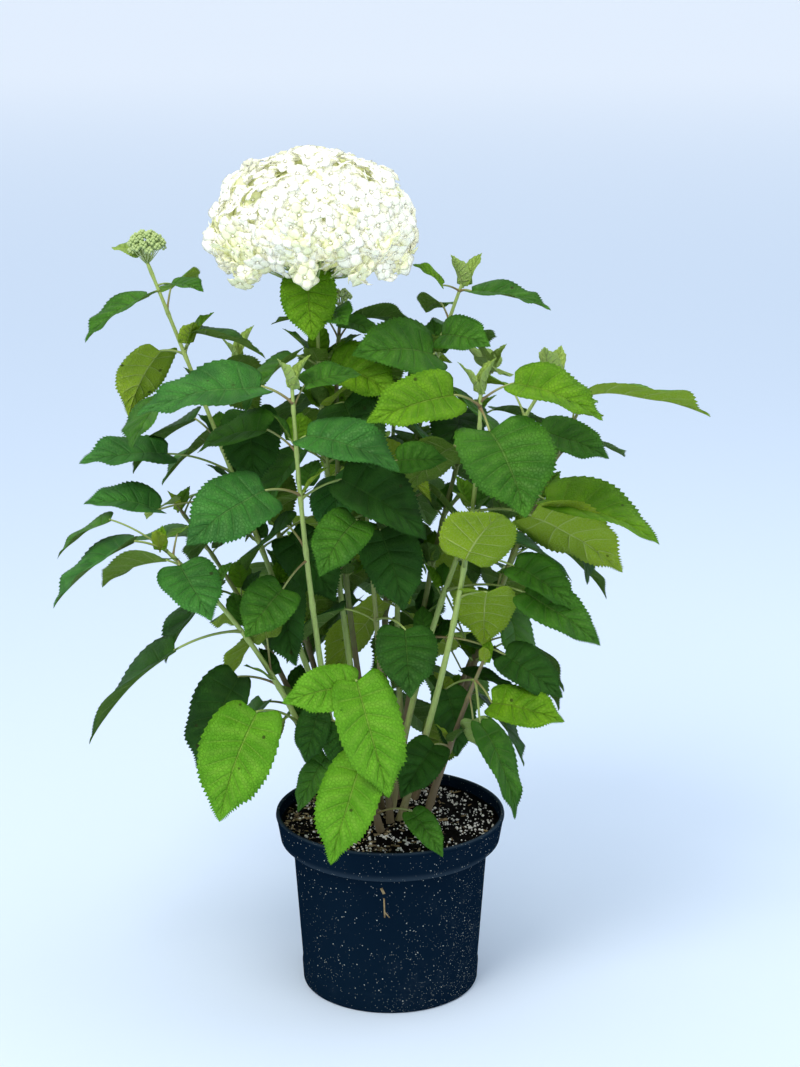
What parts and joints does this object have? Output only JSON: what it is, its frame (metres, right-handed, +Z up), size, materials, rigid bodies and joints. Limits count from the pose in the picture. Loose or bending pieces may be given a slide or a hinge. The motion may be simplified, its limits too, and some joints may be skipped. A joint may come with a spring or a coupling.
{
  "type": "potted hydrangea shrub",
  "caption": "Leafy hydrangea shrub with a white mophead bloom and green bud heads, growing in a round nursery pot.",
  "frame": {"origin": "centre of the pot's flat underside", "axes": "+Z up along the pot's axis, -Y towards the sunny side that carries the lowest front leaves, +X to the right of that side"},
  "size_m": [0.7644, 0.5425, 1.0223],
  "materials": {
    "pot": "satin",
    "compost": "matte",
    "cane": "satin",
    "leaves": "satin",
    "bloom": "matte",
    "buds": "matte"
  },
  "bodies": {
    "root": {"pot": "pot", "compost": "compost", "cane_front_left": "cane", "leaves_front_left": "leaves", "cane_left_bud": "cane", "leaves_left_bud": "leaves", "cane_low_left": "cane", "leaves_low_left": "leaves", "cane_bloom": "cane", "leaves_bloom": "leaves", "cane_small_bud": "cane", "leaves_small_bud": "leaves", "cane_right_top": "cane", "leaves_right_top": "leaves", "cane_right_front": "cane", "leaves_right_front": "leaves", "cane_right": "cane", "leaves_right": "leaves", "cane_back_right": "cane", "leaves_back_right": "leaves", "cane_low_right": "cane", "leaves_low_right": "leaves", "cane_low_front": "cane", "leaves_low_front": "leaves", "cane_centre": "cane", "leaves_centre": "leaves", "cane_back_left": "cane", "leaves_back_left": "leaves", "cane_back": "cane", "leaves_back": "leaves", "cane_back_far_right": "cane", "leaves_back_far_right": "leaves", "cane_low_back_left": "cane", "leaves_low_back_left": "leaves", "cane_low_back_right": "cane", "leaves_low_back_right": "leaves", "cane_low_back": "cane", "leaves_low_back": "leaves", "bloom_head": "bloom", "bud_head_left": "buds", "bud_head_small": "buds"}
  },
  "joints": []
}
